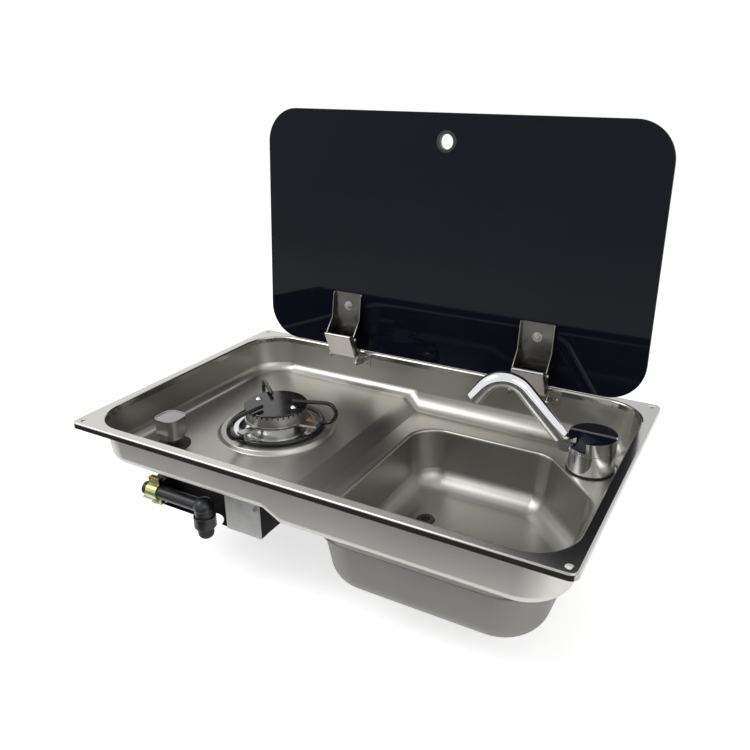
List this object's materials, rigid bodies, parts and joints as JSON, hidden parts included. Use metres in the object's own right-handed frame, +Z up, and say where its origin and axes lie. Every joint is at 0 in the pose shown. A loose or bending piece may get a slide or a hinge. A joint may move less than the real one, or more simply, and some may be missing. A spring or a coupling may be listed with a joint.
{
  "type": "hob and sink combination",
  "caption": "Drop-in stainless steel hob and sink unit with a gas burner, a rectangular bowl, a folding tap and a hinged dark glass lid.",
  "frame": {"origin": "centre of the rim at its top face, the middle of the four rim screw holes", "axes": "+X to the right along the front edge, +Y towards the lid's hinges at the back, +Z up"},
  "size_m": [0.6, 0.3861, 0.5157],
  "materials": {
    "stainless": "satin",
    "polished_steel": "polished",
    "cast_aluminium": "satin",
    "black_enamel": "gloss",
    "brass": "satin",
    "copper": "satin",
    "silver_paint": "satin",
    "black_rubber": "matte",
    "black_plastic": "satin",
    "black_paint": "satin",
    "zinc": "galvanised",
    "yellow_zinc": "passivated",
    "chrome": "polished",
    "grey_plastic": "matte",
    "black_glass": "gloss"
  },
  "bodies": {
    "pan_unit": {"pan": "stainless", "sink_bowl": "stainless", "drain_flange": "black_plastic", "drain_gasket": "black_rubber", "drain_nut": "black_plastic", "burner_dish": "polished_steel", "burner_cup": "cast_aluminium", "burner_crown": "cast_aluminium", "burner_cap": "black_enamel", "cap_rivets": "polished_steel", "pan_support": "black_enamel", "jet_holder": "brass", "gas_pipe": "zinc", "pipe_nuts": "brass", "thermocouple": "copper", "knob_seal": "black_rubber", "gas_valve": "black_paint", "valve_cap": "zinc", "rail_clamp": "yellow_zinc", "clamp_screws": "stainless", "gas_rail": "black_paint", "spigot_nut": "black_plastic", "hose_spigot": "zinc", "spigot_cap": "black_rubber", "burner_tray": "zinc", "tray_front_panel": "zinc", "tray_screws": "stainless", "tap_gasket": "black_rubber", "tap_stud": "brass", "tap_washer": "black_rubber", "tap_backnut": "brass", "tap_inlet": "grey_plastic", "hinge_base_left": "stainless", "hinge_base_right": "stainless", "base_pins": "stainless", "base_screws": "stainless"},
    "lid_link": {"front_link_left": "stainless", "front_link_right": "stainless"},
    "lid": {"front_link_pins": "stainless", "glass_lid": "black_glass", "finger_ring": "black_plastic", "lid_bracket_left": "stainless", "lid_bracket_right": "stainless", "lid_pads": "black_rubber", "lid_bolts": "stainless", "lid_washers": "stainless", "lid_nuts": "stainless"},
    "rear_links": {"rear_link_left": "stainless", "rear_link_right": "stainless"},
    "tap": {"tap_body": "chrome", "tap_cartridge": "brass", "spout_pin": "stainless"},
    "spout_arm": {"spout": "chrome", "spout_nozzle": "grey_plastic"},
    "tap_handle": {"tap_knob": "chrome", "tap_knob_insert": "black_plastic"},
    "valve": {"valve_plug": "brass", "spindle_spring": "stainless"},
    "knob": {"hob_knob": "silver_paint", "knob_spindle": "stainless"}
  },
  "joints": [
    {"name": "lid_turn", "type": "hinge", "parent": "pan_unit", "child": "lid", "pos_m": [0, 0.17075, -0.00761], "axis": [1, 0, 0], "range_deg": [0, 93.99]},
    {"name": "link_turn", "type": "hinge", "parent": "pan_unit", "child": "lid_link", "pos_m": [0, 0.16595, -0.00646], "axis": [1, 0, 0], "range_deg": [-0.1, 107.07]},
    {"name": "rear_link_turn", "type": "hinge", "parent": "pan_unit", "child": "rear_links", "pos_m": [0, 0.15161, -0.01145], "axis": [1, 0, 0], "range_deg": [-46, 0.1]},
    {"name": "tap_swivel", "type": "hinge", "parent": "pan_unit", "child": "tap", "pos_m": [0.238, 0.107, -0.05], "axis": [0, 0, 1], "range_deg": [-6, 60]},
    {"name": "spout_fold", "type": "hinge", "parent": "tap", "child": "spout_arm", "pos_m": [0.20792, 0.0995, -0.033], "axis": [0.2419, -0.9703, 0], "range_deg": [-0.1, 50.1]},
    {"name": "tap_knob_turn", "type": "hinge", "parent": "tap", "child": "tap_handle", "pos_m": [0.238, 0.107, -0.03], "axis": [0, 0, 1], "range_deg": [0, 60]},
    {"name": "gas_turn", "type": "hinge", "parent": "pan_unit", "child": "valve", "pos_m": [-0.228, -0.1, -0.07], "axis": [0, 0, 1], "range_deg": [0, 210]},
    {"name": "knob_push", "type": "slide", "parent": "valve", "child": "knob", "axis": [0, 0, -1], "range_m": [0, 0.004], "stiffness_N_per_m": 1500, "springref_m": -0.002, "deforming": ["spindle_spring"]}
  ],
  "couplings": [
    {"joint": "link_turn", "follows": "lid_turn", "ratio": 1.138},
    {"joint": "rear_link_turn", "follows": "lid_turn", "ratio": -0.48755},
    {"joint": "spout_fold", "follows": "lid_turn", "ratio": 0.53192}
  ]
}
